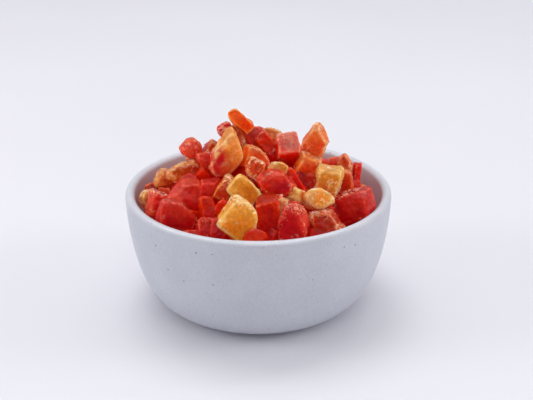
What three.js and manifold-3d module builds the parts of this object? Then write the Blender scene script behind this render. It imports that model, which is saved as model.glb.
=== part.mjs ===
// A small round stoneware bowl, heaped with diced candied papaya.
//
// Millimetres, +Z up. The origin is the centre of the bowl's foot, on the table.
// The front of the heap faces -Y. Two solids: the bowl, and the heap of dice as
// one body out to its uneven outline. The heap keeps a small gap to the bowl.

import * as THREE from 'three';
import { ConvexGeometry } from 'three/addons/geometries/ConvexGeometry.js';
import { mergeVertices } from 'three/addons/utils/BufferGeometryUtils.js';
import Module from 'manifold-3d';

const wasm = await Module();
wasm.setup();

// ---------------------------------------------------------------- driving sizes

// The bowl.
const RIM_RADIUS = 60;
const BOWL_HEIGHT = 52.7;
const WALL = 4.2;
const FLOOR = 5;
const FOOT_RADIUS = 32.5;
const WELL_RADIUS = 28.5;
const BELLY = 3.4; // how early the wall swings out: 2 is an ellipse, more is fuller
const RISE = 1.67; // how soon it turns upright: 2 is an ellipse, less is sooner
const WALL_STEPS = 9;
const LIP_STEPS = 6;
const AROUND = 48;

// The heap. A die's centre lies on a low dome, or the die's own lift above it.
const DOME_EDGE = 41;
const DOME_RISE = 28;
const DOME_RADIUS = 57;
const DOME_Y = 3;
const BACK_START = 6;
const BACK_END = 16;
const BACK_DROP = 5.5;
const CORE_DEPTH = 5; // the packed inside reaches this far below the dice's centres,
const CORE_EDGE = 42; // and to this level at least beside the wall
const CORE_STEPS = 5;
const CORE_AROUND = 36;
const BOWL_GAP = 0.3;
const HEADROOM = 110; // higher than any die

// The dice that fill the places where none is laid by hand.
const FILL_SITES = 96;
const FILL_RADIUS = 47.5;
const FILL_CLEAR = 8.2;
const LONG = [9.5, 14.5];
const WIDE = [8, 12];
const THICK = [7.5, 10];
const EDGE_DROP = 3; // how much lower the outermost of them lie, beside the wall

// ------------------------------------------------------------------ small tools

const GOLDEN_ANGLE = Math.PI * (3 - Math.sqrt(5));
const WOBBLE = 0.12; // how far a corner strays, as a share of the die's size
const TAPER = [0.74, 0.92]; // the face's size, as a share of the back's
const SKEW = 0.16; // how far the face lies to one side, as a share of the die's size
const MERGE = 1e-4; // corners closer than this are one

// A steady number from 0 to 1 for die i and question k.
function chance(i, k) {
  const wave = Math.sin(i * 127.1 + k * 311.7) * 43758.5453;
  return wave - Math.floor(wave);
}

function between([low, high], share) {
  return low + (high - low) * share;
}

// The solid that a closed geometry bounds: shared corners are merged, and the
// faces that shrink to nothing at the axis of a turned shape are dropped.
function toSolid(geometry) {
  const bare = geometry.clone();
  bare.deleteAttribute('normal');
  bare.deleteAttribute('uv');
  const merged = mergeVertices(bare, MERGE);
  const corners = merged.index.array;
  const kept = [];
  for (let n = 0; n < corners.length; n += 3) {
    const [a, b, c] = corners.slice(n, n + 3);
    if (a !== b && b !== c && c !== a) kept.push(a, b, c);
  }
  return new wasm.Manifold(new wasm.Mesh({
    numProp: 3,
    vertProperties: new Float32Array(merged.attributes.position.array),
    triVerts: new Uint32Array(kept),
  }));
}

function toGeometry(solid) {
  const mesh = solid.getMesh();
  const geometry = new THREE.BufferGeometry();
  geometry.setAttribute('position', new THREE.BufferAttribute(mesh.vertProperties, 3));
  geometry.setIndex(new THREE.BufferAttribute(mesh.triVerts, 1));
  geometry.computeVertexNormals();
  return geometry;
}

// A solid of revolution about +Z, from [radius, height] points that run
// from the axis at the bottom, round the outside, to the axis at the top.
function turned(points, around) {
  const profile = points.map(([radius, height]) => new THREE.Vector2(radius, height));
  return new THREE.LatheGeometry(profile, around).rotateX(Math.PI / 2);
}

// ------------------------------------------------------------------------- bowl

// The wall's curve, from the flat foot or well out and up to the lip.
function wallCurve(flatRadius, topRadius, bottom, top) {
  const points = [];
  for (let n = 0; n <= WALL_STEPS; n += 1) {
    const turn = (n / WALL_STEPS) * (Math.PI / 2);
    const radius = flatRadius + (topRadius - flatRadius) * Math.sin(turn) ** (2 / BELLY);
    const height = bottom + (top - bottom) * (1 - Math.cos(turn) ** (2 / RISE));
    points.push([radius, height]);
  }
  return points;
}

const LIP_RADIUS = WALL / 2;
const LIP_LEVEL = BOWL_HEIGHT - LIP_RADIUS;
const INNER_RADIUS = RIM_RADIUS - WALL;
const outside = wallCurve(FOOT_RADIUS, RIM_RADIUS, 0, LIP_LEVEL);
const inside = wallCurve(WELL_RADIUS, INNER_RADIUS, FLOOR, LIP_LEVEL);

function lipCurve() {
  const points = [];
  for (let n = 1; n < LIP_STEPS; n += 1) {
    const turn = (n / LIP_STEPS) * Math.PI;
    points.push([
      RIM_RADIUS - LIP_RADIUS + LIP_RADIUS * Math.cos(turn),
      LIP_LEVEL + LIP_RADIUS * Math.sin(turn),
    ]);
  }
  return points;
}

function bowlGeometry() {
  const profile = [[0, 0], ...outside, ...lipCurve(), ...[...inside].reverse(), [0, FLOOR]];
  return toGeometry(toSolid(turned(profile, AROUND)));
}

// The space that the heap may fill: the bowl's inside, less the gap, and straight up.
function roomForHeap() {
  const [, ...wall] = inside.map(([radius, height]) => [radius - BOWL_GAP, height + BOWL_GAP]);
  const well = [WELL_RADIUS - BOWL_GAP, FLOOR + BOWL_GAP];
  const top = INNER_RADIUS - BOWL_GAP;
  return toSolid(turned([[0, well[1]], well, ...wall, [top, HEADROOM], [0, HEADROOM]], AROUND));
}

// ------------------------------------------------------------------------- dice

// How a die's broad face is cut: corners in shares of its width and its length.
const CUTS = {
  block: [[-0.5, -0.5], [0.5, -0.5], [0.5, 0.5], [-0.5, 0.5]],
  wedge: [[-0.5, -0.5], [0.5, -0.5], [0.27, 0.5], [-0.27, 0.5]],
  chip: [[-0.5, -0.5], [0.5, -0.5], [0.5, 0.1], [0.1, 0.5], [-0.5, 0.5]],
  kite: [[-0.04, 0.48], [0.12, 0.5], [0.5, 0.06], [0.22, -0.48], [-0.08, -0.5], [-0.5, -0.04]],
  round: [[-0.2, -0.5], [0.2, -0.5], [0.5, -0.2], [0.5, 0.2], [0.2, 0.5], [-0.2, 0.5],
    [-0.5, 0.2], [-0.5, -0.2]],
  bar: [[-0.5, -0.5], [0.5, -0.5], [0.5, 0.36], [0.22, 0.5], [-0.22, 0.5], [-0.5, 0.36]],
  gem: [[-0.5, -0.1], [-0.38, -0.36], [0.1, -0.5], [0.5, 0.02], [0.02, 0.5], [-0.22, 0.36]],
  hood: [[-0.46, -0.5], [0.42, -0.5], [0.5, -0.08], [0.38, 0.34], [0.08, 0.5], [-0.34, 0.46],
    [-0.5, 0.1]],
  leaf: [[-0.18, 0.5], [-0.31, 0.35], [-0.47, 0.05], [-0.5, -0.22], [-0.26, -0.46],
    [0, -0.5], [0.32, -0.28], [0.5, 0.05], [0.25, 0.3]],
};

// The dice laid by hand on the front and the crest: the cut, the place of the centre
// (x, y, and the lift above the dome), the length, width and thickness, and how it
// lies: its face is turned about +Z (yaw), tipped up (lean) and turned in its own
// plane (roll), in degrees. A negative width mirrors the cut.
const LAID = [
  // left shoulder
  ['round', -48.5, -8, 2, 9, 8, 7, 10, 25, 40],
  ['gem', -42.6, 1, 3.4, 10.5, 13, 9, 10, 25, 15],
  ['round', -32.2, -5, 2.7, 9, 18.5, 9, 10, 20, 6],
  ['gem', -30, 3, 8.6, 12, 12, 9, 10, 20, -10],
  ['block', -23.7, -5, 2.8, 8.5, 7.5, 7, 5, 20, 15],
  ['wedge', -22, 3, 2, 14, 10, 8, 10, 15, -30],
  ['block', -46, 3, -3, 9, 12, 9, 10, 35, 0],
  // crest
  ['leaf', -13.2, -10, 5.7, 25.5, 14, 8, 4, 22, -20],
  ['bar', -7.5, 3, 14, 14.3, 6.2, 6.5, 8, 15, 42],
  ['round', -15, 6, 10.3, 8.5, 6.5, 7, 0, 20, -25],
  ['block', -9.5, 3, 6, 12, 9, 8, 0, 30, 20],
  ['block', -1, 4, 5, 11, 9, 8, 0, 35, 30],
  ['chip', -1.5, -10, 1.5, 14.5, 13, 9, 8, 25, -12],
  ['block', 4.5, 0, 3, 16, 7.5, 8, 0, 22, 42],
  ['round', 6, 7, 6, 7, 13.5, 7, -5, 30, -18],
  ['block', 13, -1.5, 3.5, 11.5, 11, 11, 0, 55, 6],
  ['kite', 24.2, -1, 9.6, 18, 13, 8, -8, 15, -4],
  // middle of the front
  ['block', 21.4, -9, 2.6, 13, 10, 9, 10, 12, -30],
  ['block', 23, -15, -4, 11, 9, 8, 0, 35, -20],
  ['block', 30.5, -16, 3.5, 14, 11.5, 8, -6, 14, -10],
  ['gem', 25.8, -28, 2.5, 11, 15.5, 8, 0, 25, -8],
  ['kite', 15.7, -28, 1.8, 10, 9.5, 8, 0, 30, 20],
  ['round', 7.5, -27, 4, 12.5, 18.5, 9, 0, 25, -15],
  ['kite', -1, -18, 2.5, 13, 10, 8, 10, 22, 8],
  ['round', 8.8, -17, 0.5, 9, 10, 8, 0, 35, -10],
  ['block', 15.8, -19, 0.5, 12, 4, 6, 0, 25, 35],
  ['block', -6, -31, 3.5, 14, 11, 9, 5, 18, 47],
  ['wedge', -14, -26, 2, 12.5, 8.5, 8, 0, 25, -22],
  ['block', -20.5, -23, 1, 9, 8.5, 9, 0, 20, 0],
  // left of the front
  ['chip', -31.4, -24, 2.5, 19, -16, 9, 10, 20, 0],
  ['chip', -33, -33, 3.5, 14.5, 18.5, 9, 15, 15, -15],
  ['block', -43.5, -19, 2.8, 11.5, 9, 8, 20, 20, -15],
  ['block', -46, -25, -2.5, 9, 8, 8, 25, 30, 0],
  ['block', -41, -12, -1, 7, 6, 6, 0, 35, 0],
  ['block', -21.8, -33, 0.5, 12, 6.5, 8, 10, 30, 0],
  ['wedge', -15, -33, -0.5, 10, 9, 8, 0, 25, -25],
  // along the front rim
  ['block', -27.5, -43.5, 1, 10, 10, 8, 15, 30, 0],
  ['block', -21, -41, 1.2, 10, 9, 8, 5, 30, 0],
  ['block', -15.5, -42, 1, 10, 8, 8, 0, 30, -8],
  ['chip', -7.5, -43, 4.7, 15.5, 16, 8, 5, 18, -42],
  ['round', -2, -47, 1, 9, 13, 8, 0, 25, 15],
  ['block', 5, -39, 2.2, 15, 11, 9, 0, 15, 4],
  ['round', 10.3, -36, 3.2, 8, 8, 7, 0, 25, 20],
  ['hood', 14.5, -42, 4.3, 17.5, 13.5, 9, -5, 18, 0],
  ['kite', 28.5, -38, 4.8, 20, 11.5, 8, -12, 25, -108],
  ['block', 28, -41, 0.5, 10, 15, 8, 0, 30, 0],
  ['block', 28, -31, -1, 10, 10, 8, 0, 35, 0],
  // right shoulder
  ['block', 41.3, -22, 2.8, 14.5, 19.5, 10, -28, 18, 22],
  ['round', 46.4, -7, 2, 8.5, 10, 8, 0, 20, -15],
  ['block', 37.5, -10, 1.8, 12.5, 8, 8, 0, 15, -8],
  ['round', 34.8, 4, 2.8, 8.5, 11.5, 8, 0, 20, 0],
  ['round', 39.2, 3, 4.7, 12, 8, 8, 0, 18, 8],
  ['block', 44.5, 5, 3, 13, 4.5, 7, 0, 15, -10],
  ['block', 42, -5, -1, 10, 8, 8, 0, 30, 0],
  ['block', 36, 4, -3.5, 11, 11, 9, 0, 30, 0],
];

function laidDice() {
  return LAID.map(([cut, x, y, lift, long, wide, thick, yaw, lean, roll], id) => (
    { id, cut, x, y, lift, long, wide, thick, yaw, lean, roll }
  ));
}

// Sites on a sunflower spiral over the dome, each with a die of its own size and
// turn, wherever no die laid by hand is close. Faces look out from the heap's middle.
function fillDice(laid) {
  const cuts = ['block', 'block', 'block', 'wedge', 'chip', 'kite', 'round'];
  const dice = [];
  for (let n = 0; n < FILL_SITES; n += 1) {
    const id = 100 + n;
    const bearing = n * GOLDEN_ANGLE;
    const radius = FILL_RADIUS * Math.sqrt((n + 0.5) / FILL_SITES);
    const x = radius * Math.cos(bearing);
    const y = radius * Math.sin(bearing);
    if (laid.some((die) => Math.hypot(die.x - x, die.y - y) < FILL_CLEAR)) continue;
    dice.push({
      id,
      cut: cuts[Math.floor(chance(id, 2) * cuts.length)],
      x,
      y,
      lift: 4 * chance(id, 3) - 1 - EDGE_DROP * (radius / FILL_RADIUS) ** 6,
      long: between(LONG, chance(id, 4)),
      wide: between(WIDE, chance(id, 5)),
      thick: between(THICK, chance(id, 6)),
      yaw: THREE.MathUtils.radToDeg(bearing) + 90 + 50 * (chance(id, 7) - 0.5),
      lean: 20 + 50 * chance(id, 8),
      roll: 90 * chance(id, 9),
    });
  }
  return dice;
}

// The heap's level: a low dome, with a step down behind the crest.
function domeLevel(x, y) {
  const behind = THREE.MathUtils.clamp((y - BACK_START) / (BACK_END - BACK_START), 0, 1);
  const rise = DOME_RISE * (1 - (x ** 2 + (y - DOME_Y) ** 2) / DOME_RADIUS ** 2);
  return DOME_EDGE + rise - BACK_DROP * behind;
}

// A die is the hull of its back and of a smaller face, a little to one side of it.
function dieGeometry(die) {
  const turn = new THREE.Matrix4().makeRotationFromEuler(new THREE.Euler(
    THREE.MathUtils.degToRad(-die.lean),
    THREE.MathUtils.degToRad(-die.roll),
    THREE.MathUtils.degToRad(die.yaw),
    'ZXY',
  ));
  const centre = new THREE.Vector3(die.x, die.y, domeLevel(die.x, die.y) + die.lift);
  const face = between(TAPER, chance(die.id, 1));
  const skew = [201, 202].map((k) => SKEW * (chance(die.id, k) - 0.5));
  const corners = [];
  for (const [depth, scale, shift, seed] of [[-0.5, face, skew, 0], [0.5, 1, [0, 0], 50]]) {
    CUTS[die.cut].forEach(([across, along], n) => {
      const stray = (k) => WOBBLE * (chance(die.id, 10 * n + k + seed) - 0.5);
      corners.push(new THREE.Vector3(
        (across * scale + shift[0] + stray(1)) * die.wide,
        (depth + stray(3)) * die.thick,
        (along * scale + shift[1] + stray(2)) * die.long,
      ).applyMatrix4(turn).add(centre));
    });
  }
  return new ConvexGeometry(corners);
}

// ------------------------------------------------------------------------- heap

// The packed middle of the heap, below the dice that show: a round plug whose top
// follows the dome.
function coreGeometry() {
  const top = [];
  for (let n = CORE_STEPS; n >= 0; n -= 1) {
    top.push([(n / CORE_STEPS) * RIM_RADIUS, 1]);
  }
  const plug = turned([[0, 0], [RIM_RADIUS, 0], ...top], CORE_AROUND);
  const place = plug.attributes.position;
  for (let n = 0; n < place.count; n += 1) {
    const level = domeLevel(place.getX(n), place.getY(n)) - CORE_DEPTH;
    if (place.getZ(n) > 0.5) place.setZ(n, Math.max(level, CORE_EDGE));
  }
  return plug;
}

function heapGeometry() {
  const laid = laidDice();
  let heap = toSolid(coreGeometry());
  for (const die of [...laid, ...fillDice(laid)]) {
    heap = heap.add(toSolid(dieGeometry(die)));
  }
  heap = heap.intersect(roomForHeap());
  // Closed pockets between dice would be hollows with no way out, so they are filled.
  const bodies = heap.decompose().filter((body) => body.volume() > 0);
  return toGeometry(bodies.reduce((whole, body) => whole.add(body)));
}

// ------------------------------------------------------------------------ scene

function part(name, geometry, colour, roughness) {
  const material = new THREE.MeshStandardMaterial({ color: colour, roughness, metalness: 0 });
  const mesh = new THREE.Mesh(geometry, material);
  mesh.name = name;
  return mesh;
}

const group = new THREE.Group();
group.add(part('bowl', bowlGeometry(), 0xc3c7d2, 0.55));
group.add(part('diced_papaya', heapGeometry(), 0xc8471e, 0.5));

export default group;
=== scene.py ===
"""Diced candied papaya heaped in a small stoneware bowl: the looks around the CAD frame.

Lengths are in millimetres until a mesh or an object is made, which is in metres.
The front of the heap faces -Y, towards the camera.
"""

import itertools
import math

import bmesh
import bpy
import numpy as np
from mathutils import Matrix, Vector


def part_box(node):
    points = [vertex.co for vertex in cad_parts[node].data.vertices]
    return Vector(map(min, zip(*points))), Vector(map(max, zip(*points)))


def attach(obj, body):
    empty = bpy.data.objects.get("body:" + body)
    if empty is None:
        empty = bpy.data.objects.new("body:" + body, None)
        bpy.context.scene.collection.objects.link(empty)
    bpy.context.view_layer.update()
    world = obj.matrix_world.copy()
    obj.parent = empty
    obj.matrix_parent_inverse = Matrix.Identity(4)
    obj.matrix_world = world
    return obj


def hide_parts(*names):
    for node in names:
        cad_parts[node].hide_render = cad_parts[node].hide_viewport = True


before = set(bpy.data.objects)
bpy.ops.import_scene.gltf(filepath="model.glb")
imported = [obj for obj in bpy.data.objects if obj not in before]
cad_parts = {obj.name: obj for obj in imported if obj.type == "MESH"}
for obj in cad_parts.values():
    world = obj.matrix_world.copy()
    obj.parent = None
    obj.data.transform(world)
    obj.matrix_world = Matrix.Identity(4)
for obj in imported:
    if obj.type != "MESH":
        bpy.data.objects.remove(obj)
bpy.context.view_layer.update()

MM = 0.001

# ------------------------------------------------------------------- driving sizes

# The bowl: its rim and height come from the frame, the rest is as in the CAD source.
_, bowl_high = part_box("bowl")
RIM_RADIUS = bowl_high.x / MM
BOWL_HEIGHT = bowl_high.z / MM
WALL = 4.2
FLOOR = 5
FOOT_RADIUS = 32.5
WELL_RADIUS = 28.5
BELLY = 3.4
RISE = 1.67
LIP_RADIUS = WALL / 2
LIP_LEVEL = BOWL_HEIGHT - LIP_RADIUS
INNER_RADIUS = RIM_RADIUS - WALL
OUTSIDE_STEPS = 56
INSIDE_STEPS = 48
LIP_STEPS = 12
FLAT_RINGS = (0.02, 0.35, 0.7, 0.93)  # rings of the foot and the well, in shares of them
OUT_OF_ROUND = 0.0012  # how far the wall is drawn in by hand, as a share
ROUND_SIZE = 26
ROUND_START = 10  # and at what height it is drawn in fully

# The heap: a die's centre lies on a low dome, or the die's own lift above it.
DOME_EDGE = 41
DOME_RISE = 28
DOME_RADIUS = 57
DOME_Y = 3
BACK_START = 6
BACK_END = 16
BACK_DROP = 5.5
BOWL_GAP = 0.35

# The dice listed one by one, and those that fill the places where none is.
LAID_FINE = 26  # quads along a die's side
FILL_FINE = 20
FILL_ID = 100  # the number of the first of them
FILL_SITES = 96
FILL_RADIUS = 47.5
FILL_CLEAR = 8.2
LONG = (9.5, 14.5)
WIDE = (8, 12)
THICK = (7.5, 10)
FILL_LIFT = (-1, 3)
FILL_YAW = 50  # how far they turn from facing outward, to both sides together
FILL_LEAN = (20, 70)
FULL_ROLL = 90
EDGE_DROP = 3  # how much lower the outermost of them lie, beside the wall
EDGE_POWER = 6
GOLDEN_ANGLE = math.pi * (3 - math.sqrt(5))
WOBBLE = 0.12  # how far a corner strays, as a share of the die's size
TAPER = (0.74, 0.92)  # the face's size, as a share of the back's
SKEW = 0.16  # how far the face lies to one side, as a share of the die's size

# The dice below them, seen through the gaps and beside the wall, and the core below.
UNDER_FINE = 12
UNDER_ID = 300
UNDER_SITES = 88
UNDER_RADIUS = 50.5
UNDER_LIFT = (-6.5, -3.5)
UNDER_LEAN = 70
WALL_START = 36  # further out they are seen from above
CORE_DEPTH = 12
CORE_RADIUS = 50
CORE_RELIEF = 1.2
CORE_RELIEF_SIZE = 6

# A die's skin. Sizes are half of the way from a hollow to a hump.
CRISPNESS = (3.4, 5.5)  # 2 is an ellipsoid, and a large number keeps every edge sharp
SWELL = 1.09  # makes up for what the rounding takes off
MERGE_ANGLE = math.radians(15)  # planes closer than this are one cut
DISH = (0.1, 0.6)  # how far a face sinks between its edges
DISH_REACH = 2.5
WAIST = (0.1, 0.6)  # how far it all sinks between the corners
WAIST_REACH = 3.5
WARP = 0.8
WARP_SIZE = 7
LUMPS = 0.55
LUMP_SIZE = 4
WRINKLES = 0.35
WRINKLE_SIZE = 2.6
GRAIN = 0.06
GRAIN_SIZE = 1

# Where the flesh turns cloudy: towards one end and in clouds. Along its thin edges it is
# painted lighter, a painted glow of light coming through.
CLOUD_START = 0.25
CLOUDS = 0.9
CLOUD_SIZE = 5.5
SMALL_CLOUDS = 0.4
SMALL_CLOUD_SIZE = 2.6
THIN_PAINTED_GLOW = 0.6
THIN_REACH = 2  # light gets through the flesh this far from an edge
RIM_REACH = 1.1

# Sugar frosts edges, corners and patches, and lies there in crystals too.
SUGAR_SPREAD = 0.5  # how much more or less sugar one die of a colour has than another
CORNER_REACH = 2.2
BAND_REACH = 1.1
BAND_SIZE = 5
PATCH_SIZE = 4.5
TOP_SUGAR = 0.7
MOST_FROST = 1.2
CRYSTALS = 2200
CRYSTAL_SIZE = (0.25, 0.55)
CRYSTAL_FLATNESS = 0.6  # the thinnest side, as a share of the longest
CRYSTAL_SINK = 0.05
CRYSTAL_STRAY = 0.2
CRYSTAL_FROST = 0.1  # none lie where there is less frost than this
CRYSTAL_SEED = 5

# The flesh's shader.
FIBRE_SIZE = 1.4
RIM_START = 0.15  # from an edge: the rim's painted glow is full up to here
RIM_BREAKS = 2.5  # the size of the stretches where the rim shows more, or less
SWIRL_SIZE = 1.5
SKIN_SIZE = 2.0
SKIN_BUMP = 0.6
GRIT_BUMP = 0.4
PASSED_LIGHT = 0.16  # stands for light that goes on from die to die

# The glaze's shader. Specks are sparse: how far apart their places are, how wide they
# are as a share of that, how rarely a place has one, and how dark it is.
SPECKS = (2.6, 0.13, 0.55, 0.45), (6.0, 0.09, 0.7, 0.75)
GLAZE_CLOUD_SIZE = 18
GLAZE_FINE_SIZE = 0.8
SATIN_SIZE = 3.0
RIPPLE_SIZE = 1.5
RIPPLE_BUMP = 0.15

# What counts as facing up, as the share of the outward direction that points up; as
# lying open, by the lift; and as deep, by how far below the dome's level. They place the
# painted shade and sheen on the flesh, the rims' painted glow, and the sugar.
FACING_UP = (0.3, 0.95)
OPEN = (-2, 3)
DEEP = (-7, 0)

# The view, in metres: a little above the rim, from the front.
ELEVATION = math.radians(23.4)
DISTANCE = 0.45
TARGET = (0.0036, 0, 0.0457)
LENS = 66.7
SENSOR = 36

# ------------------------------------------------------------------------- colours

# Each is the clear flesh, the cloudy flesh and the pale colour of the painted glow along
# the rims and the painted sheen on the tops, as 8-bit sRGB, how sugary the die is, and
# which way it grows cloudy: across, and along.
FLESH = {
    "tan": ((226, 98, 38), (242, 144, 82), (250, 200, 145), 0.45, (0.3, 1)),
    "honey": ((216, 66, 14), (226, 98, 24), (242, 164, 88), 0.3, (-0.5, 1)),
    "amber": ((250, 160, 56), (252, 180, 82), (252, 205, 145), 0.6, (-0.5, 1)),
    "yellow": ((242, 144, 38), (250, 178, 74), (254, 214, 146), 0.65, (-0.6, 1)),
    "orange": ((244, 86, 20), (250, 122, 40), (252, 175, 100), 0.3, (-0.3, 1)),
    "coral": ((238, 88, 34), (244, 130, 66), (252, 185, 125), 0.35, (0.5, 1)),
    "salmon": ((236, 34, 6), (252, 146, 122), (250, 172, 138), 0.3, (0, 1.6)),
    "blush": ((224, 22, 34), (255, 160, 70), (252, 205, 140), 0.35, (1, 2.2)),
    "rust": ((206, 32, 12), (224, 84, 30), (242, 152, 96), 0.35, (0.6, 1)),
    "red": ((218, 28, 22), (232, 74, 44), (238, 106, 72), 0.25, (-0.4, 1)),
    "scarlet": ((216, 20, 6), (234, 60, 10), (240, 96, 44), 0.2, (0.3, 1)),
    "crimson": ((208, 20, 32), (224, 56, 38), (230, 84, 62), 0.25, (0.5, 1)),
    "ruby": ((192, 14, 42), (226, 44, 14), (234, 92, 58), 0.2, (-0.7, 0.3)),
    "ember": ((208, 4, 0), (216, 8, 0), (230, 45, 5), 0, (0, 1)),
}

# Painted shade: how much red, green and blue the flesh keeps where it looks up, and
# between the dice.
TOP_PAINTED_SHADE = (0.55, 0.43, 0.4)
GAP_PAINTED_SHADE = (0.95, 0.45, 0.5)
FLESH_TONE = (0.66, 0.81)  # how light one die is, and another
TOP_PAINTED_SHEEN = 0.12  # how much paler the open top of a die is painted: a painted sheen
# How light the rims' painted glow is.
RIM_TONE = 0.74
RIM_PAINTED_GLOW = (0.35, 1)  # how pale the rims' painted glow is, down in a gap and in the open
FROST_COLOUR = (0.98, 0.76, 0.5, 1)  # linear light, as are the glaze's and the table's
GLAZE_COLOURS = (0.55, 0.56, 0.635, 1), (0.59, 0.6, 0.67, 1)
SPECK_COLOUR = (0.13, 0.12, 0.13, 1)
TABLE_COLOURS = (0.74, 0.732, 0.79, 1), (0.76, 0.752, 0.81, 1)
SUGAR_WHITE = (255, 236, 215)
CRYSTAL_WHITE = 0.5
CORE_FLESH = (200, 0, 4)
CORE_RIM = (210, 12, 4)
NO_EDGE = 9.0  # stands for being far from any edge


def linear(colour):
    """8-bit sRGB as linear light."""
    share = np.array(colour, float) / 255
    return np.where(share <= 0.04045, share / 12.92, ((share + 0.055) / 1.055) ** 2.4)


# --------------------------------------------------------------------- small tools


def chance(i, k):
    """A steady number from 0 to 1 for die i and question k."""
    wave = math.sin(i * 127.1 + k * 311.7) * 43758.5453
    return wave - math.floor(wave)


def between(limits, share):
    low, high = limits
    return low + (high - low) * share


def pick(options, share):
    return options[int(share * len(options))]


# The noise's lattice is tilted, so that it never runs along a die's faces.
TILT = np.array(Matrix.Rotation(0.7, 3, "X") @ Matrix.Rotation(0.9, 3, "Z"))


def noise(points, size, salt):
    """Smooth noise from -1 to 1, with lumps about size across."""
    place = points @ TILT / size + (0.37 * salt) % 7
    cell = np.floor(place)
    inside = place - cell
    inside = inside * inside * (3 - 2 * inside)
    total = np.zeros(len(points))
    for corner in itertools.product((0, 1), repeat=3):
        wave = np.sin((cell + corner) @ (127.1, 311.7, 74.7) + salt * 19.19) * 43758.5453
        weight = np.prod(np.where(corner, inside, 1 - inside), axis=1)
        total += weight * (wave - np.floor(wave))
    return 2 * total - 1


def dome_level(x, y):
    """The heap's level: a low dome, with a step down behind the crest."""
    behind = np.clip((y - BACK_START) / (BACK_END - BACK_START), 0, 1)
    rise = DOME_RISE * (1 - (x**2 + (y - DOME_Y) ** 2) / DOME_RADIUS**2)
    return DOME_EDGE + rise - BACK_DROP * behind


def inner_radius(height):
    """The bowl's inside radius at a height."""
    share = np.clip((height - FLOOR) / (LIP_LEVEL - FLOOR), 0, 1)
    cosine = (1 - share) ** (RISE / 2)
    return WELL_RADIUS + (INNER_RADIUS - WELL_RADIUS) * np.sqrt(1 - cosine**2) ** (2 / BELLY)


def keep_in_bowl(points):
    """Points of the heap, pressed in where they would reach into the bowl's wall."""
    radius = np.hypot(points[:, 0], points[:, 1])
    limit = inner_radius(points[:, 2]) - BOWL_GAP
    squeeze = np.minimum(1, limit / np.maximum(radius, 1e-6))
    points[:, :2] *= squeeze[:, None]
    return points


def make_mesh(name, points, faces, attributes=()):
    """A smooth mesh object from points in millimetres."""
    mesh = bpy.data.meshes.new(name)
    mesh.from_pydata((points * MM).tolist(), [], faces.tolist())
    for label, kind, values in attributes:
        layer = mesh.attributes.new(label, kind, "POINT")
        field = "color" if kind == "FLOAT_COLOR" else "value"
        layer.data.foreach_set(field, np.ascontiguousarray(values, np.float32).ravel())
    mesh.polygons.foreach_set("use_smooth", np.ones(len(mesh.polygons), bool))
    mesh.update()
    piece = bpy.data.objects.new(name, mesh)
    bpy.context.scene.collection.objects.link(piece)
    return piece


def close_holes(piece):
    """Fills a mesh's open rings and turns its faces outward."""
    shape = bmesh.new()
    shape.from_mesh(piece.data)
    holes = [edge for edge in shape.edges if edge.is_boundary]
    bmesh.ops.holes_fill(shape, edges=holes, sides=0)
    bmesh.ops.recalc_face_normals(shape, faces=shape.faces)
    for face in shape.faces:
        face.smooth = True
    shape.to_mesh(piece.data)
    shape.free()


# -------------------------------------------------------------------------- shaders


def add(tree, kind, settings=None, **inputs):
    """A new node. Inputs are values or sockets, under the socket's name with _ for a space."""
    made = tree.nodes.new(kind)
    for name, value in (settings or {}).items():
        setattr(made, name, value)
    for name, value in inputs.items():
        socket = made.inputs[name.replace("_", " ")]
        if isinstance(value, bpy.types.NodeSocket):
            tree.links.new(value, socket)
        else:
            socket.default_value = value
    return made


def maths(tree, operation, first, second):
    made = tree.nodes.new("ShaderNodeMath")
    made.operation = operation
    for socket, value in zip(made.inputs, (first, second)):
        if isinstance(value, bpy.types.NodeSocket):
            tree.links.new(value, socket)
        else:
            socket.default_value = value
    return made.outputs[0]


def blend(tree, mode, share, first, second):
    made = tree.nodes.new("ShaderNodeMix")
    made.data_type = "RGBA"
    made.blend_type = mode
    for index, value in ((0, share), (6, first), (7, second)):
        if isinstance(value, bpy.types.NodeSocket):
            tree.links.new(value, made.inputs[index])
        else:
            made.inputs[index].default_value = value
    return made.outputs[2]


def steps(tree, value, low, high, out_low=0.0, out_high=1.0):
    """A value's stretch from low to high, spread over another stretch."""
    made = add(tree, "ShaderNodeMapRange", {"interpolation_type": "SMOOTHSTEP"}, Value=value)
    made.inputs["From Min"].default_value = low
    made.inputs["From Max"].default_value = high
    made.inputs["To Min"].default_value = out_low
    made.inputs["To Max"].default_value = out_high
    return made.outputs[0]


def speckle(tree, place, size, detail=2.0, roughness=0.5):
    made = add(tree, "ShaderNodeTexNoise", Vector=place, Scale=1 / (size * MM), Detail=detail,
               Roughness=roughness)
    return made.outputs[0]


def new_material(name):
    """A material, its tree, its main shader and the object's own coordinates."""
    material = bpy.data.materials.new(name)
    material.use_nodes = True
    tree = material.node_tree
    shader = tree.nodes["Principled BSDF"]
    place = tree.nodes.new("ShaderNodeTexCoord").outputs["Object"]
    return material, tree, shader, place


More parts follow.
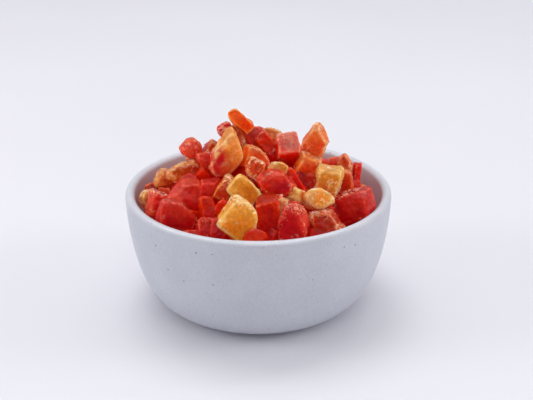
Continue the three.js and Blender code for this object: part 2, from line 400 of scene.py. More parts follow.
def flesh_material(name, glow):
    """Candied papaya: clear to cloudy flesh, wet in places, dull where sugar frosts it.

    The glow is how far red, green and blue light go in it."""
    material, tree, shader, place = new_material(name)
    # The flesh comes with painted shade on its tops and in the gaps, and pale is the colour of the
    # painted glow along its rims.
    flesh = add(tree, "ShaderNodeAttribute", {"attribute_name": "flesh"}).outputs["Color"]
    pale = add(tree, "ShaderNodeAttribute", {"attribute_name": "pale"}).outputs["Color"]
    sugar = add(tree, "ShaderNodeAttribute", {"attribute_name": "frost"}).outputs["Fac"]
    edge = add(tree, "ShaderNodeAttribute", {"attribute_name": "edge"}).outputs["Fac"]

    # Fibres run through the flesh. Along its thin edges it is painted pale, a painted glow of
    # light coming through.
    fibres = speckle(tree, place, FIBRE_SIZE, 4.0, 0.65)
    toned = blend(tree, "MULTIPLY", 1.0, flesh, steps(tree, fibres, 0.35, 0.65, 0.86, 1.12))
    wander = steps(tree, speckle(tree, place, RIM_BREAKS), 0.38, 0.6, 0.2, 0.95)
    near_edge = steps(tree, edge, RIM_START, RIM_REACH, 1.0, 0.0)
    thin = maths(tree, "MULTIPLY", near_edge, wander)
    rimmed = blend(tree, "MIX", thin, toned, pale)

    # The sugar lies in swirls, thin enough for the flesh to show through.
    swirls = speckle(tree, place, SWIRL_SIZE, 2.0, 0.6)
    cover = maths(tree, "MULTIPLY", sugar, steps(tree, swirls, 0.46, 0.62, 0, 1.7))
    frost = steps(tree, cover, 0.1, 1.1)
    sugared = blend(tree, "MIX", 0.6, rimmed, FROST_COLOUR)
    coloured = blend(tree, "MIX", frost, rimmed, sugared)
    tree.links.new(coloured, shader.inputs["Base Color"])

    # Light that goes on from die to die fills the gaps with a faint glow.
    tree.links.new(toned, shader.inputs["Emission Color"])
    shader.inputs["Emission Strength"].default_value = PASSED_LIGHT

    rough = steps(tree, cover, 0.1, 0.7, 0.22, 0.5)
    tree.links.new(rough, shader.inputs["Roughness"])
    shader.inputs["Subsurface Weight"].default_value = 1.0
    shader.inputs["Subsurface Radius"].default_value = glow
    shader.inputs["Subsurface Scale"].default_value = MM
    shader.inputs["Subsurface Anisotropy"].default_value = 0.8
    shader.inputs["Specular IOR Level"].default_value = 0.05
    shader.inputs["IOR"].default_value = 1.45
    shader.inputs["Coat Weight"].default_value = 0.14
    shader.inputs["Coat Roughness"].default_value = 0.08

    skin = add(tree, "ShaderNodeBump", Height=speckle(tree, place, SKIN_SIZE, 4.0, 0.65),
               Strength=1.0, Distance=SKIN_BUMP * MM)
    grit = add(tree, "ShaderNodeBump", Height=maths(tree, "MULTIPLY", swirls, frost),
               Strength=0.6, Distance=GRIT_BUMP * MM, Normal=skin.outputs[0])
    tree.links.new(grit.outputs[0], shader.inputs["Normal"])
    tree.links.new(grit.outputs[0], shader.inputs["Coat Normal"])
    return material


def sugar_material():
    """Loose sugar crystals, which take the colour of the flesh below."""
    material, tree, shader, place = new_material("sugar_crystals")
    flesh = add(tree, "ShaderNodeAttribute", {"attribute_name": "flesh"}).outputs["Color"]
    tint = steps(tree, speckle(tree, place, 1.0), 0.3, 0.7, 0.9, 1.0)
    tree.links.new(blend(tree, "MULTIPLY", 1.0, flesh, tint), shader.inputs["Base Color"])
    shader.inputs["Roughness"].default_value = 0.2
    shader.inputs["Subsurface Weight"].default_value = 1.0
    shader.inputs["Subsurface Radius"].default_value = (1, 0.8, 0.6)
    shader.inputs["Subsurface Scale"].default_value = 1.0 * MM
    return material


def stoneware_material():
    """Satin pale blue-grey glaze with sparse dark specks."""
    material, tree, shader, place = new_material("stoneware")
    cloud = steps(tree, speckle(tree, place, GLAZE_CLOUD_SIZE, 3.0), 0.3, 0.7)
    glaze = blend(tree, "MIX", cloud, *GLAZE_COLOURS)
    fine = steps(tree, speckle(tree, place, GLAZE_FINE_SIZE), 0.35, 0.65, 0.96, 1.03)
    glaze = blend(tree, "MULTIPLY", 1.0, glaze, fine)
    for spacing, reach, rare, dark in SPECKS:
        cells = add(tree, "ShaderNodeTexVoronoi", Vector=place, Scale=1 / (spacing * MM))
        near = steps(tree, cells.outputs["Distance"], reach * 0.5, reach, 1.0, 0.0)
        draw = add(tree, "ShaderNodeSeparateColor", Color=cells.outputs["Color"]).outputs[0]
        chosen = maths(tree, "GREATER_THAN", draw, rare)
        spot = maths(tree, "MULTIPLY", maths(tree, "MULTIPLY", near, chosen), dark)
        glaze = blend(tree, "MIX", spot, glaze, SPECK_COLOUR)
    tree.links.new(glaze, shader.inputs["Base Color"])
    satin = steps(tree, speckle(tree, place, SATIN_SIZE, 3.0), 0.3, 0.7, 0.5, 0.62)
    tree.links.new(satin, shader.inputs["Roughness"])
    shader.inputs["Subsurface Weight"].default_value = 0.1
    shader.inputs["Subsurface Radius"].default_value = (1, 1, 1)
    shader.inputs["Subsurface Scale"].default_value = 1.0 * MM
    shader.inputs["Coat Weight"].default_value = 0.12
    shader.inputs["Coat Roughness"].default_value = 0.35
    ripple = add(tree, "ShaderNodeBump", Height=speckle(tree, place, RIPPLE_SIZE, 3.0),
                 Strength=0.25, Distance=RIPPLE_BUMP * MM)
    tree.links.new(ripple.outputs[0], shader.inputs["Normal"])
    return material


def floor_material():
    """A plain pale table."""
    material, tree, shader, place = new_material("table")
    tint = steps(tree, speckle(tree, place, 300.0), 0.3, 0.7)
    colour = blend(tree, "MIX", tint, *TABLE_COLOURS)
    tree.links.new(colour, shader.inputs["Base Color"])
    shader.inputs["Roughness"].default_value = 0.7
    return material


# ---------------------------------------------------------------------------- bowl


def wall_curve(flat_radius, top_radius, bottom, top, count):
    """The wall from its flat foot or well, out and up to the lip."""
    turn = np.linspace(0, math.pi / 2, count)
    radius = flat_radius + (top_radius - flat_radius) * np.sin(turn) ** (2 / BELLY)
    height = bottom + (top - bottom) * (1 - np.abs(np.cos(turn)) ** (2 / RISE))
    return np.stack([radius, height], 1)


def bowl_profile():
    """The wall's section as radius and height: foot, outside, lip, inside and well."""
    outside = wall_curve(FOOT_RADIUS, RIM_RADIUS, 0, LIP_LEVEL, OUTSIDE_STEPS)
    inside = wall_curve(WELL_RADIUS, INNER_RADIUS, FLOOR, LIP_LEVEL, INSIDE_STEPS)
    turn = np.linspace(0, math.pi, LIP_STEPS + 1)[1:-1]
    lip = np.stack([
        RIM_RADIUS - LIP_RADIUS + LIP_RADIUS * np.cos(turn),
        LIP_LEVEL + LIP_RADIUS * np.sin(turn),
    ], 1)
    foot = np.array([[share * FOOT_RADIUS, 0] for share in FLAT_RINGS])
    well = np.array([[share * WELL_RADIUS, FLOOR] for share in reversed(FLAT_RINGS)])
    return np.concatenate([foot, outside, lip, inside[::-1], well])


def build_bowl(material, around=192):
    """The bowl, turned from its profile."""
    profile = bowl_profile()
    count = len(profile)
    angle = np.linspace(0, 2 * math.pi, around, endpoint=False)
    points = np.stack([
        np.outer(np.cos(angle), profile[:, 0]),
        np.outer(np.sin(angle), profile[:, 0]),
        np.outer(np.ones(around), profile[:, 1]),
    ], 2).reshape(-1, 3)
    # Thrown by hand: the wall is never quite round, and is drawn in by a hair's breadth.
    side = np.clip(points[:, 2:] / ROUND_START, 0, 1)
    points[:, :2] *= 1 - OUT_OF_ROUND * side * (1 + noise(points, ROUND_SIZE, 3)[:, None])
    faces = []
    for n in range(around):
        here, there = n * count, (n + 1) % around * count
        faces += [(here + k, there + k, there + k + 1, here + k + 1) for k in range(count - 1)]
    piece = make_mesh("stoneware_bowl", points, np.array(faces))
    close_holes(piece)
    piece.data.materials.append(material)
    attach(piece, "root")
    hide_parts("bowl")


# ---------------------------------------------------------------------------- dice

# How a die's broad face is cut: corners in shares of its width and its length.
CUTS = {
    "block": [(-0.5, -0.5), (0.5, -0.5), (0.5, 0.5), (-0.5, 0.5)],
    "wedge": [(-0.5, -0.5), (0.5, -0.5), (0.27, 0.5), (-0.27, 0.5)],
    "chip": [(-0.5, -0.5), (0.5, -0.5), (0.5, 0.1), (0.1, 0.5), (-0.5, 0.5)],
    "kite": [(-0.04, 0.48), (0.12, 0.5), (0.5, 0.06), (0.22, -0.48), (-0.08, -0.5), (-0.5, -0.04)],
    "round": [(-0.2, -0.5), (0.2, -0.5), (0.5, -0.2), (0.5, 0.2), (0.2, 0.5), (-0.2, 0.5),
              (-0.5, 0.2), (-0.5, -0.2)],
    "bar": [(-0.5, -0.5), (0.5, -0.5), (0.5, 0.36), (0.22, 0.5), (-0.22, 0.5), (-0.5, 0.36)],
    "gem": [(-0.5, -0.1), (-0.38, -0.36), (0.1, -0.5), (0.5, 0.02), (0.02, 0.5), (-0.22, 0.36)],
    "hood": [(-0.46, -0.5), (0.42, -0.5), (0.5, -0.08), (0.38, 0.34), (0.08, 0.5), (-0.34, 0.46),
             (-0.5, 0.1)],
    "leaf": [(-0.18, 0.5), (-0.31, 0.35), (-0.47, 0.05), (-0.5, -0.22), (-0.26, -0.46),
             (0, -0.5), (0.32, -0.28), (0.5, 0.05), (0.25, 0.3)],
}

# The dice listed one by one on the front and the crest: the cut, the colour, the place of
# the centre (x, y, and the lift above the dome), the length, width and thickness, and
# how it lies: yaw about +Z, lean and roll, in degrees. A negative width mirrors the cut.
LAID = [
    # left shoulder
    ("round", "tan", -48.5, -8, 2, 9, 8, 7, 10, 25, 40),
    ("gem", "honey", -42.6, 1, 3.4, 10.5, 13, 9, 10, 25, 15),
    ("round", "honey", -32.2, -5, 2.7, 9, 18.5, 9, 10, 20, 6),
    ("gem", "red", -30, 3, 8.6, 12, 12, 9, 10, 20, -10),
    ("block", "red", -23.7, -5, 2.8, 8.5, 7.5, 7, 5, 20, 15),
    ("wedge", "rust", -22, 3, 2, 14, 10, 8, 10, 15, -30),
    ("block", "rust", -46, 3, -3, 9, 12, 9, 10, 35, 0),
    # crest
    ("leaf", "blush", -13.2, -10, 5.7, 25.5, 14, 8, 4, 22, -20),
    ("bar", "orange", -7.5, 3, 14, 14.3, 6.2, 6.5, 8, 15, 42),
    ("round", "crimson", -15, 6, 10.3, 8.5, 6.5, 7, 0, 20, -25),
    ("block", "rust", -9.5, 3, 6, 12, 9, 8, 0, 30, 20),
    ("block", "crimson", -1, 4, 5, 11, 9, 8, 0, 35, 30),
    ("chip", "orange", -1.5, -10, 1.5, 14.5, 13, 9, 8, 25, -12),
    ("block", "scarlet", 4.5, 0, 3, 16, 7.5, 8, 0, 22, 42),
    ("round", "tan", 6, 7, 6, 7, 13.5, 7, -5, 30, -18),
    ("block", "salmon", 13, -1.5, 3.5, 11.5, 11, 11, 0, 55, 6),
    ("kite", "coral", 24.2, -1, 9.6, 18, 13, 8, -8, 15, -4),
    # middle of the front
    ("block", "orange", 21.4, -9, 2.6, 13, 10, 9, 10, 12, -30),
    ("block", "scarlet", 23, -15, -4, 11, 9, 8, 0, 35, -20),
    ("block", "amber", 30.5, -16, 3.5, 14, 11.5, 8, -6, 14, -10),
    ("gem", "amber", 25.8, -28, 2.5, 11, 15.5, 8, 0, 25, -8),
    ("kite", "yellow", 15.7, -28, 1.8, 10, 9.5, 8, 0, 30, 20),
    ("round", "ruby", 7.5, -27, 4, 12.5, 18.5, 9, 0, 25, -15),
    ("kite", "coral", -1, -18, 2.5, 13, 10, 8, 10, 22, 8),
    ("round", "yellow", 8.8, -17, 0.5, 9, 10, 8, 0, 35, -10),
    ("block", "red", 15.8, -19, 0.5, 12, 4, 6, 0, 25, 35),
    ("block", "yellow", -6, -31, 3.5, 14, 11, 9, 5, 18, 47),
    ("wedge", "honey", -14, -26, 2, 12.5, 8.5, 8, 0, 25, -22),
    ("block", "crimson", -20.5, -23, 1, 9, 8.5, 9, 0, 20, 0),
    # left of the front
    ("chip", "red", -31.4, -24, 2.5, 19, -16, 9, 10, 20, 0),
    ("chip", "crimson", -33, -33, 3.5, 14.5, 18.5, 9, 15, 15, -15),
    ("block", "red", -43.5, -19, 2.8, 11.5, 9, 8, 20, 20, -15),
    ("block", "crimson", -46, -25, -2.5, 9, 8, 8, 25, 30, 0),
    ("block", "rust", -41, -12, -1, 7, 6, 6, 0, 35, 0),
    ("block", "scarlet", -21.8, -33, 0.5, 12, 6.5, 8, 10, 30, 0),
    ("wedge", "scarlet", -15, -33, -0.5, 10, 9, 8, 0, 25, -25),
    # along the front rim
    ("block", "crimson", -27.5, -43.5, 1, 10, 10, 8, 15, 30, 0),
    ("block", "crimson", -21, -41, 1.2, 10, 9, 8, 5, 30, 0),
    ("block", "crimson", -15.5, -42, 1, 10, 8, 8, 0, 30, -8),
    ("chip", "yellow", -7.5, -43, 4.7, 15.5, 16, 8, 5, 18, -42),
    ("round", "scarlet", -2, -47, 1, 9, 13, 8, 0, 25, 15),
    ("block", "scarlet", 5, -39, 2.2, 15, 11, 9, 0, 15, 4),
    ("round", "tan", 10.3, -36, 3.2, 8, 8, 7, 0, 25, 20),
    ("hood", "crimson", 14.5, -42, 4.3, 17.5, 13.5, 9, -5, 18, 0),
    ("kite", "rust", 28.5, -38, 4.8, 20, 11.5, 8, -12, 25, -108),
    ("block", "crimson", 28, -41, 0.5, 10, 15, 8, 0, 30, 0),
    ("block", "crimson", 28, -31, -1, 10, 10, 8, 0, 35, 0),
    # right shoulder
    ("block", "crimson", 41.3, -22, 2.8, 14.5, 19.5, 10, -28, 18, 22),
    ("round", "rust", 46.4, -7, 2, 8.5, 10, 8, 0, 20, -15),
    ("block", "rust", 37.5, -10, 1.8, 12.5, 8, 8, 0, 15, -8),
    ("round", "red", 34.8, 4, 2.8, 8.5, 11.5, 8, 0, 20, 0),
    ("round", "rust", 39.2, 3, 4.7, 12, 8, 8, 0, 18, 8),
    ("block", "crimson", 44.5, 5, 3, 13, 4.5, 7, 0, 15, -10),
    ("block", "crimson", 42, -5, -1, 10, 8, 8, 0, 30, 0),
    ("block", "scarlet", 36, 4, -3.5, 11, 11, 9, 0, 30, 0),
]

KEYS = ("cut", "colour", "x", "y", "lift", "long", "wide", "thick", "yaw", "lean", "roll")
FILL_CUTS = ("block", "block", "block", "wedge", "chip", "kite", "round")
FILL_COLOURS = ("red", "scarlet", "crimson", "orange", "rust", "amber", "yellow", "scarlet",
                "crimson", "orange", "coral", "tan")
UNDER_COLOURS = ("ember", "scarlet", "ember")
WALL_COLOURS = ("crimson", "rust", "scarlet", "crimson", "orange")


def laid_dice():
    return [dict(zip(KEYS, row), id=index, fine=LAID_FINE) for index, row in enumerate(LAID)]


def spiral(count, radius):
    """Sites of a sunflower spiral: number, bearing, distance from the middle."""
    for n in range(count):
        yield n, n * GOLDEN_ANGLE, radius * math.sqrt((n + 0.5) / count)


def sizes(index):
    """The size and the roll of a die that isn't listed one by one."""
    return {
        "long": between(LONG, chance(index, 4)),
        "wide": between(WIDE, chance(index, 5)),
        "thick": between(THICK, chance(index, 6)),
        "roll": FULL_ROLL * chance(index, 9),
    }


def fill_dice(laid):
    """Dice over the rest of the dome. Their faces look out from the heap's middle."""
    dice = []
    for n, bearing, radius in spiral(FILL_SITES, FILL_RADIUS):
        index = FILL_ID + n
        x, y = radius * math.cos(bearing), radius * math.sin(bearing)
        if any(math.hypot(die["x"] - x, die["y"] - y) < FILL_CLEAR for die in laid):
            continue
        drop = EDGE_DROP * (radius / FILL_RADIUS) ** EDGE_POWER
        dice.append({
            "id": index,
            "fine": FILL_FINE,
            "cut": pick(FILL_CUTS, chance(index, 2)),
            "colour": pick(FILL_COLOURS, chance(index, 10)),
            "x": x,
            "y": y,
            "lift": between(FILL_LIFT, chance(index, 3)) - drop,
            "yaw": math.degrees(bearing) + 90 + FILL_YAW * (chance(index, 7) - 0.5),
            "lean": between(FILL_LEAN, chance(index, 8)),
            **sizes(index),
        })
    return dice


def under_dice():
    """The layer below: deep red where it shows in the gaps, red to orange at the wall."""
    dice = []
    for n, bearing, radius in spiral(UNDER_SITES, UNDER_RADIUS):
        index = UNDER_ID + n
        colours = UNDER_COLOURS if radius < WALL_START else WALL_COLOURS
        drop = EDGE_DROP * (radius / UNDER_RADIUS) ** EDGE_POWER
        dice.append({
            "id": index,
            "fine": UNDER_FINE,
            "cut": "block",
            "colour": pick(colours, chance(index, 10)),
            "x": radius * math.cos(bearing),
            "y": radius * math.sin(bearing),
            "lift": between(UNDER_LIFT, chance(index, 3)) - drop,
            "yaw": 360 * chance(index, 7),
            "lean": UNDER_LEAN * chance(index, 8),
            **sizes(index),
        })
    return dice


def die_turn(die):
    """How a die lies, as a matrix: rolled, leaned back, then turned about +Z."""
    yaw = Matrix.Rotation(math.radians(die["yaw"]), 3, "Z")
    lean = Matrix.Rotation(math.radians(-die["lean"]), 3, "X")
    roll = Matrix.Rotation(math.radians(-die["roll"]), 3, "Y")
    return np.array(yaw @ lean @ roll)


def die_corners(die):
    """The corners of the back and of a smaller face to one side of it, about the centre."""
    face = between(TAPER, chance(die["id"], 1))
    skew = [SKEW * (chance(die["id"], k) - 0.5) for k in (201, 202)]
    corners = []
    for depth, scale, shift, seed in ((-0.5, face, skew, 0), (0.5, 1, (0, 0), 50)):
        for n, (across, along) in enumerate(CUTS[die["cut"]]):
            stray = [WOBBLE * (chance(die["id"], 10 * n + k + seed) - 0.5) for k in (1, 2, 3)]
            corners.append((
                (across * scale + shift[0] + stray[0]) * die["wide"],
                (depth + stray[2]) * die["thick"],
                (along * scale + shift[1] + stray[1]) * die["long"],
            ))
    return np.array(corners)


def hull_planes(corners):
    """The outward normals of the corners' hull and their distances from the middle."""
    middle = corners.mean(0)
    shape = bmesh.new()
    for corner in corners - middle:
        shape.verts.new(corner)
    bmesh.ops.convex_hull(shape, input=shape.verts)
    cuts = []
    for face in sorted(shape.faces, key=lambda each: -each.calc_area()):
        normal = np.array(face.normal)
        distance = normal @ np.array(face.calc_center_median())
        if distance < 0:
            normal, distance = -normal, -distance
        area = face.calc_area()
        for cut in cuts:
            if cut[0] @ normal > math.cos(MERGE_ANGLE) * np.linalg.norm(cut[0]):
                cut[0] += normal * area
                cut[1] += distance * area
                cut[2] += area
                break
        else:
            cuts.append([normal * area, distance * area, area])
    shape.free()
    normals = np.array([cut[0] / np.linalg.norm(cut[0]) for cut in cuts])
    distances = np.array([cut[1] / cut[2] for cut in cuts])
    return middle, normals, distances


def cube_grid(count):
    """A cube's surface from -1 to 1 as points and quads, count quads to a side."""
    numbers, points, quads = {}, [], []

    def number(place):
        if place not in numbers:
            numbers[place] = len(points)
            points.append([2 * step / count - 1 for step in place])
        return numbers[place]

    for axis, side in itertools.product(range(3), (0, count)):
        for i, j in itertools.product(range(count), repeat=2):
            quad = []
            for u, v in ((i, j), (i + 1, j), (i + 1, j + 1), (i, j + 1)):
                place = [u, v]
                place.insert(axis, side)
                quad.append(number(tuple(place)))
            outward = (side == 0) == (axis != 1)
            quads.append(quad[::-1] if outward else quad)
    return np.array(points), np.array(quads)


GRIDS = {count: cube_grid(count) for count in (UNDER_FINE, FILL_FINE, LAID_FINE)}


def soft_hull(die):
    """A die rounded off: places about its middle, outward directions, and how far each
    place lies from the nearest edge and the nearest corner."""
    grid, _ = GRIDS[die["fine"]]
    middle, normals, distances = hull_planes(die_corners(die))
    ways = grid * np.abs([die["wide"], die["thick"], die["long"]])
    ways /= np.linalg.norm(ways, axis=1)[:, None]

    # Every plane counts, the nearest by far the most.
    crisp = between(CRISPNESS, chance(die["id"], 20))
    pull = np.maximum(ways @ normals.T, 0) / distances
    local = ways * (pull**crisp).sum(1)[:, None] ** (-1 / crisp)
    share = np.maximum(local @ normals.T, 0) / distances
    outward = (share ** (crisp - 1) / distances) @ normals
    outward /= np.linalg.norm(outward, axis=1)[:, None]
    slack = np.sort(distances - local @ normals.T, axis=1)
    return middle, local, outward, slack[:, 1] - slack[:, 0], slack[:, 2] - slack[:, 0]


def ease(low, high, value):
    """0 below low, 1 above high, and smooth between."""
    share = np.clip((value - low) / (high - low), 0, 1)
    return share * share * (3 - 2 * share)


def mixed(first, second, share):
    return first + (second - first) * share[:, None]


def die_skin(die):
    """One die: points, quads, outward directions, flesh with its painted shade, sheen and glow,
    rim glow colour, frost and edge.
    """
    salt = die["id"]
    middle, local, outward, edge, corner = soft_hull(die)

    # Dried in the tray: it sinks between the edges and corners, and the skin wrinkles.
    ridges = (1 - np.abs(noise(local, WRINKLE_SIZE, salt + 0.5))) ** 4
    relief = -between(DISH, chance(salt, 21)) * (1 - np.exp(-edge / DISH_REACH))
    relief -= between(WAIST, chance(salt, 22)) * (1 - np.exp(-corner / WAIST_REACH))
    relief += LUMPS * noise(local, LUMP_SIZE, salt) + WRINKLES * ridges
    relief += GRAIN * noise(local, GRAIN_SIZE, salt + 0.7)
    bend = np.stack([noise(local, WARP_SIZE, salt + turn) for turn in (0.1, 0.3, 0.9)], 1)
    shape = SWELL * local + outward * relief[:, None] + WARP * bend + middle

    turn = die_turn(die)
    outward = outward @ turn.T
    place = np.array([die["x"], die["y"], dome_level(die["x"], die["y"]) + die["lift"]])
    points = keep_in_bowl(shape @ turn.T + place)

    # Clear flesh at one end, cloudy towards the other; painted lighter along the thin edges, a
    # painted glow, and on the open tops a painted sheen.
    clear, cloudy, pale, sugar, (across, along) = FLESH[die["colour"]]
    size = np.abs([die["wide"], die["long"]])
    cloud = CLOUD_START + across * local[:, 0] / size[0] + along * local[:, 2] / size[1]
    cloud += CLOUDS * noise(local, CLOUD_SIZE, salt + 0.2)
    cloud += SMALL_CLOUDS * noise(local, SMALL_CLOUD_SIZE, salt + 0.35)
    cloud += THIN_PAINTED_GLOW * np.exp(-edge / THIN_REACH)
    flesh = mixed(linear(clear), linear(cloudy), np.clip(cloud, 0, 1))
    facing_up = ease(*FACING_UP, outward[:, 2])
    open_air = ease(*OPEN, die["lift"])
    flesh = mixed(flesh, linear(pale), TOP_PAINTED_SHEEN * open_air * facing_up)

    # Painted shade: the faces that look up are painted darker, less on the sugary kinds, and
    # between the dice the flesh is painted darker and redder.
    depth = dome_level(points[:, 0], points[:, 1]) - points[:, 2]
    flesh *= mixed(np.ones(3), np.array(TOP_PAINTED_SHADE), (1 - sugar) * facing_up)
    flesh *= mixed(np.ones(3), np.array(GAP_PAINTED_SHADE), ease(*DEEP, depth))
    flesh *= between(FLESH_TONE, chance(salt, 11))
    # The rims' painted glow: paler in the open, dimmer down in the gaps.
    rim = mixed(linear(cloudy), linear(pale), np.array([between(RIM_PAINTED_GLOW, open_air)]))
    rim = np.broadcast_to(RIM_TONE * rim, flesh.shape)

    # Sugar sits at the corners, in stretches of the edges and the top, and in patches
    # anywhere. Little of it gets down into the gaps.
    sugar = open_air * np.clip(sugar + SUGAR_SPREAD * (chance(salt, 12) - 0.5), 0, 1)
    stretch = ease(-0.2, 0.5, noise(local, BAND_SIZE, salt + 0.4))
    where = np.exp(-corner / CORNER_REACH) + np.exp(-edge / BAND_REACH) * stretch
    where += TOP_SUGAR * facing_up * stretch
    where += ease(0.2, 0.7, noise(local, PATCH_SIZE, salt + 0.8))
    frost = sugar * np.clip(where, 0, MOST_FROST)
    return points, GRIDS[die["fine"]][1], outward, flesh, rim, frost, edge


def build_dice(name, dice, flesh_of, slot):
    """Many dice joined into one piece. Returns the skins."""
    skins = [die_skin(die) for die in dice]
    start = np.cumsum([0] + [len(skin[0]) for skin in skins])
    points, quads, _, flesh, rim, frost, edge = [np.concatenate(part) for part in zip(*skins)]
    quads += np.repeat(start[:-1], [len(skin[1]) for skin in skins])[:, None]
    opaque = np.ones((len(points), 1))
    # flesh carries the painted shade, sheen and glow; pale is the colour of the rims' painted
    # glow.
    piece = make_mesh(name, points, quads, [
        ("flesh", "FLOAT_COLOR", np.concatenate([flesh, opaque], 1)),
        ("pale", "FLOAT_COLOR", np.concatenate([rim, opaque], 1)),
        ("frost", "FLOAT", frost),
        ("edge", "FLOAT", edge),
    ])
    piece.data.materials.append(flesh_of[slot])
    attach(piece, "root")
    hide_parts("diced_papaya")
    print(name, len(dice), "dice", 2 * len(quads), "triangles")
    return skins


def build_crystals(skins, material):
    """Loose sugar crystals, as small boxes, where the dice are frosted most."""
    points, _, outward, _, rim, frost, _ = [np.concatenate(part) for part in zip(*skins)]
    draw = np.random.RandomState(CRYSTAL_SEED)
    weight = np.clip(frost - CRYSTAL_FROST, 0, None) ** 1.5
    chosen = draw.choice(len(points), CRYSTALS, replace=False, p=weight / weight.sum())
    box, sides = cube_grid(1)
    size = draw.uniform(*CRYSTAL_SIZE, (CRYSTALS, 1, 1))
    size = size * draw.uniform(CRYSTAL_FLATNESS, 1, (CRYSTALS, 1, 3))
    turns, _ = np.linalg.qr(draw.normal(size=(CRYSTALS, 3, 3)))
    centres = points[chosen] - CRYSTAL_SINK * outward[chosen]
    centres += draw.uniform(-CRYSTAL_STRAY, CRYSTAL_STRAY, (CRYSTALS, 3))
    corners = (box[None] * size / 2) @ turns + centres[:, None]
    quads = sides[None] + len(box) * np.arange(CRYSTALS)[:, None, None]
    white = draw.uniform(0, CRYSTAL_WHITE, CRYSTALS)
    # The crystals take the colour of the rims' painted glow, mixed towards white.
    colour = mixed(rim[chosen], linear(SUGAR_WHITE), white)
    colour = np.repeat(np.concatenate([colour, np.ones((CRYSTALS, 1))], 1), len(box), 0)
    piece = make_mesh("sugar_crystals", corners.reshape(-1, 3), quads.reshape(-1, 4),
                      [("flesh", "FLOAT_COLOR", colour)])
    piece.data.polygons.foreach_set("use_smooth", np.zeros(len(piece.data.polygons), bool))
    piece.data.materials.append(material)
    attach(piece, "root")
    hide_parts("diced_papaya")
    print("crystals", 2 * len(piece.data.polygons), "triangles")


def build_core(material, rings=40, around=96):
    """What lies below the dice: a packed lump up to a lower dome, clear of the bowl."""
    turn = np.linspace(0, 2 * math.pi, around, endpoint=False)
    share = np.linspace(FLAT_RINGS[0], 1, rings)
    level = np.linspace(1, 0, rings)
    top = np.array([(CORE_RADIUS * r * math.cos(a), CORE_RADIUS * r * math.sin(a), 0)
                    for r in share for a in turn])
    relief = CORE_RELIEF * noise(top, CORE_RELIEF_SIZE, 8)
    top[:, 2] = dome_level(top[:, 0], top[:, 1]) - CORE_DEPTH + relief
    brink = top[-around:]
    side = []
    for each in level[1:]:
        height = FLOOR + BOWL_GAP + (brink[:, 2] - FLOOR - BOWL_GAP) * each
        radius = np.minimum(inner_radius(height) - BOWL_GAP, CORE_RADIUS)
        side.append(np.stack([radius * np.cos(turn), radius * np.sin(turn), height], 1))
    points = np.concatenate([top, *side])
    faces = []
    for ring in range(len(points) // around - 1):
        for n in range(around):
            here, there = ring * around + n, ring * around + (n + 1) % around
            faces.append((here, here + around, there + around, there))
    piece = make_mesh("heap_core", points, np.array(faces), [
        ("flesh", "FLOAT_COLOR", np.tile([*linear(CORE_FLESH), 1], (len(points), 1))),
        ("pale", "FLOAT_COLOR", np.tile([*linear(CORE_RIM), 1], (len(points), 1))),
        ("frost", "FLOAT", np.zeros(len(points))),
        ("edge", "FLOAT", np.full(len(points), NO_EDGE)),
    ])
    close_holes(piece)
    piece.data.materials.append(material)
    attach(piece, "root")
    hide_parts("diced_papaya")


# The pieces: their colours, and their slot.
KINDS = {
    "dice_crimson": (("crimson", "ruby"), "red_papaya"),
    "dice_red": (("red", "salmon"), "red_papaya"),
    "dice_scarlet": (("scarlet",), "red_papaya"),
    "dice_orange": (("orange", "coral"), "orange_papaya"),
    "dice_rust": (("rust", "blush"), "orange_papaya"),
    "dice_yellow": (("yellow", "amber", "tan", "honey"), "yellow_papaya"),
}

# The flesh of each slot: how far red, green and blue light go in it.
GLOW = {
    "red_papaya": (8, 2.2, 1.6),
    "orange_papaya": (5, 3.4, 2),
    "yellow_papaya": (3.5, 3.4, 2),
    "candied_papaya": (8, 2.2, 1.6),
}


def build_heap():
    """All that stands for the solid heap: dice in six pieces, more below, core and sugar."""
    flesh = {slot: flesh_material(slot, glow) for slot, glow in GLOW.items()}
    laid = laid_dice()
    top = laid + fill_dice(laid)
    skins = []
    for name, (colours, slot) in KINDS.items():
        skins += build_dice(name, [die for die in top if die["colour"] in colours], flesh, slot)
    build_dice("dice_below", under_dice(), flesh, "candied_papaya")
    build_core(flesh["candied_papaya"])
    build_crystals(skins, sugar_material())


# --------------------------------------------------------------------------- stage


# Each light's name, place and aim in metres, breadth, power, and whether it shows in
# gloss and whether it lights what isn't glossy.
LIGHTS = [
    ("top_light", (-0.15, 0.4, 1.3), (0, 0, 0.03), 0.7, 5, True, True),
    ("left_light", (-1.3, -0.1, 0.6), (0, 0, 0.04), 0.6, 4.5, True, True),
    ("right_light", (1.3, 0, 0.6), (0, 0, 0.04), 0.6, 4.5, True, True),
    ("front_light", (0.1, -1.2, 0.35), (0, 0, 0.03), 0.8, 2.7, False, True),
    ("right_glint", (0.3, 0.3, 0.9), (0, 0, 0.06), 0.08, 7, True, False),
    ("left_glint", (-0.5, 0.2, 0.8), (0, 0, 0.06), 0.08, 7, True, False),
    ("front_glint", (0.05, -0.45, 0.9), (0, 0, 0.06), 0.08, 7, True, False),
]
TABLE_REACH = 4000
TABLE_DROP = 0.1  # so that the bowl's foot isn't in the table's own plane
ROOM_COLOUR = (0.98, 0.985, 1.0, 1)
ROOM_DIM = 0.12
ROOM_BRIGHT = 0.8


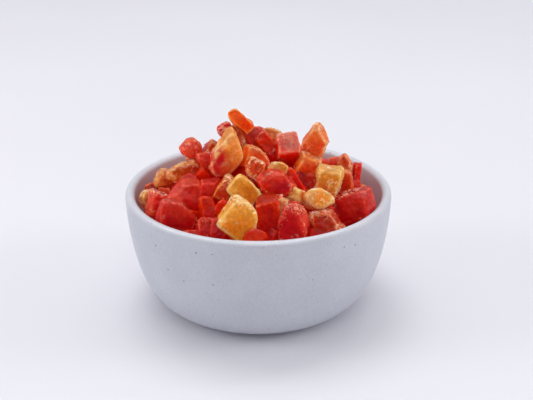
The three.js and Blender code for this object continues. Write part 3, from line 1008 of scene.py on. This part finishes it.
def area_light(name, place, aim, size, power, lights_gloss, lights_flesh):
    data = bpy.data.lights.new(name, "AREA")
    data.shape = "DISK"
    data.size = size
    data.energy = power
    lamp = bpy.data.objects.new(name, data)
    lamp.visible_glossy = lights_gloss
    lamp.visible_diffuse = lights_flesh
    lamp.location = place
    lamp.rotation_euler = (Vector(aim) - Vector(place)).to_track_quat("-Z", "Y").to_euler()
    bpy.context.scene.collection.objects.link(lamp)


def build_stage():
    """The table, the room's light and the lights."""
    corners = [(-1, -1, 0), (1, -1, 0), (1, 1, 0), (-1, 1, 0)]
    floor = make_mesh("table", TABLE_REACH * np.array(corners, float), np.array([(0, 1, 2, 3)]))
    floor.location.z = -TABLE_DROP * MM
    floor.data.materials.append(floor_material())
    world = bpy.data.worlds.new("room")
    world.use_nodes = True
    bpy.context.scene.world = world
    # The room is bright above and behind the bowl, and dim behind the camera.
    tree = world.node_tree
    way = tree.nodes.new("ShaderNodeTexCoord").outputs["Generated"]
    apart = add(tree, "ShaderNodeSeparateXYZ", Vector=way)
    ahead = maths(tree, "ADD", apart.outputs["Y"], apart.outputs["Z"])
    back = tree.nodes["Background"]
    back.inputs["Color"].default_value = ROOM_COLOUR
    strength = steps(tree, ahead, -0.6, 1.0, ROOM_DIM, ROOM_BRIGHT)
    tree.links.new(strength, back.inputs["Strength"])
    for light in LIGHTS:
        area_light(*light)
    bpy.context.scene.view_settings.view_transform = "Standard"


def build_camera():
    """The photograph's view: a little above the rim, from the front."""
    target = Vector(TARGET)
    data = bpy.data.cameras.new("camera")
    data.sensor_width = SENSOR
    data.lens = LENS
    data.clip_start = 0.01
    data.clip_end = 20
    camera = bpy.data.objects.new("camera", data)
    way = Vector((0, -math.cos(ELEVATION), math.sin(ELEVATION)))
    camera.location = target + DISTANCE * way
    camera.rotation_euler = (math.pi / 2 - ELEVATION, 0, 0)
    bpy.context.scene.collection.objects.link(camera)
    bpy.context.scene.camera = camera


build_camera()
build_stage()
build_bowl(stoneware_material())
build_heap()
